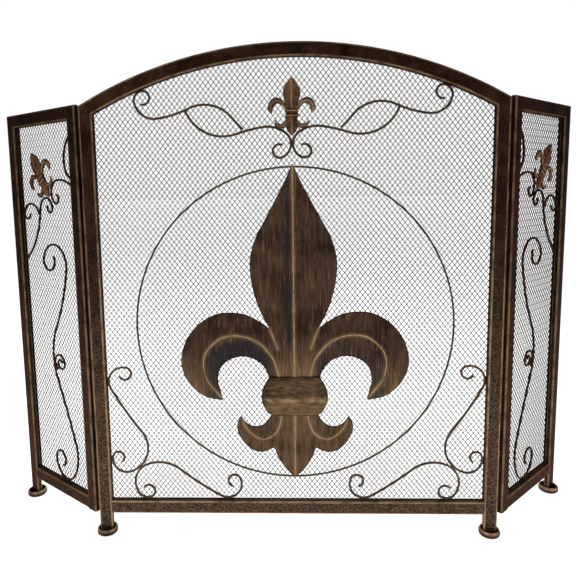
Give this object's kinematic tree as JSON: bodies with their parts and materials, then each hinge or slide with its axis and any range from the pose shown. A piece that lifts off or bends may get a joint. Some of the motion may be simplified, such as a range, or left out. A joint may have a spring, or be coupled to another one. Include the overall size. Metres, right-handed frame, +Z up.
{
  "type": "fireplace screen",
  "caption": "Folding fireplace screen: an arched mesh panel between hinged side panels, with scrollwork and fleur ornaments on cup feet.",
  "frame": {"origin": "on the floor, at the middle of the bounding box's footprint with the panels folded back as in the rest pose", "axes": "+Z up, +X along the centre panel to the viewer's right, and the front faces -Y"},
  "size_m": [1.0662, 0.1798, 0.8417],
  "materials": {
    "frame_bronze": "dark antique bronze, brushed back to copper along edges",
    "mesh_wire": "dull dark bronze woven wire",
    "scroll_rod": "brown bronze, worn lighter on the outside of bends",
    "fleur_copper": "brushed antique copper over dark brown",
    "foot_cup": "antique bronze, bright rim",
    "hinge_steel": "dark bronze over steel"
  },
  "bodies": {
    "centre_panel": {"left_post": "frame_bronze", "right_post": "frame_bronze", "arch_rail": "frame_bronze", "bottom_rail": "frame_bronze", "centre_mesh": "mesh_wire", "centre_mesh_strip": "frame_bronze", "left_foot": "foot_cup", "right_foot": "foot_cup", "large_fleur": "fleur_copper", "fleur_ring": "scroll_rod", "ring_ties": "mesh_wire", "top_fleur": "fleur_copper", "left_upper_vine": "scroll_rod", "right_upper_vine": "scroll_rod", "left_lower_vine": "scroll_rod", "right_lower_vine": "scroll_rod", "left_post_scroll": "scroll_rod", "right_post_scroll": "scroll_rod", "left_rail_scroll": "scroll_rod", "right_rail_scroll": "scroll_rod", "left_hinge_frame_leaves": "hinge_steel", "right_hinge_frame_leaves": "hinge_steel", "left_hinge_pins": "hinge_steel", "right_hinge_pins": "hinge_steel"},
    "left_panel": {"left_side_inner_post": "frame_bronze", "left_side_outer_post": "frame_bronze", "left_side_top_rail": "frame_bronze", "left_side_bottom_rail": "frame_bronze", "left_side_mesh": "mesh_wire", "left_side_mesh_strip": "frame_bronze", "left_side_foot": "foot_cup", "left_side_hinge_leaves": "hinge_steel", "left_side_fleur": "fleur_copper", "left_side_arch_rod": "scroll_rod", "left_side_link_rod": "scroll_rod", "left_side_vine_rod": "scroll_rod", "left_side_curl_rod": "scroll_rod", "left_side_hook_rod": "scroll_rod", "left_side_long_scroll": "scroll_rod", "left_side_rosette": "scroll_rod"},
    "right_panel": {"right_side_inner_post": "frame_bronze", "right_side_outer_post": "frame_bronze", "right_side_top_rail": "frame_bronze", "right_side_bottom_rail": "frame_bronze", "right_side_mesh": "mesh_wire", "right_side_mesh_strip": "frame_bronze", "right_side_foot": "foot_cup", "right_side_hinge_leaves": "hinge_steel", "right_side_fleur": "fleur_copper", "right_side_arch_rod": "scroll_rod", "right_side_link_rod": "scroll_rod", "right_side_vine_rod": "scroll_rod", "right_side_curl_rod": "scroll_rod", "right_side_hook_rod": "scroll_rod", "right_side_long_scroll": "scroll_rod", "right_side_rosette": "scroll_rod"}
  },
  "joints": [
    {"name": "left_hinge", "type": "hinge", "parent": "centre_panel", "child": "left_panel", "pos_m": [-0.34267, -0.06466, 0.4], "axis": [0, 0, -1], "range_deg": [-36, 134]},
    {"name": "right_hinge", "type": "hinge", "parent": "centre_panel", "child": "right_panel", "pos_m": [0.35813, -0.06466, 0.4], "axis": [0, 0, 1], "range_deg": [-43, 127]}
  ]
}
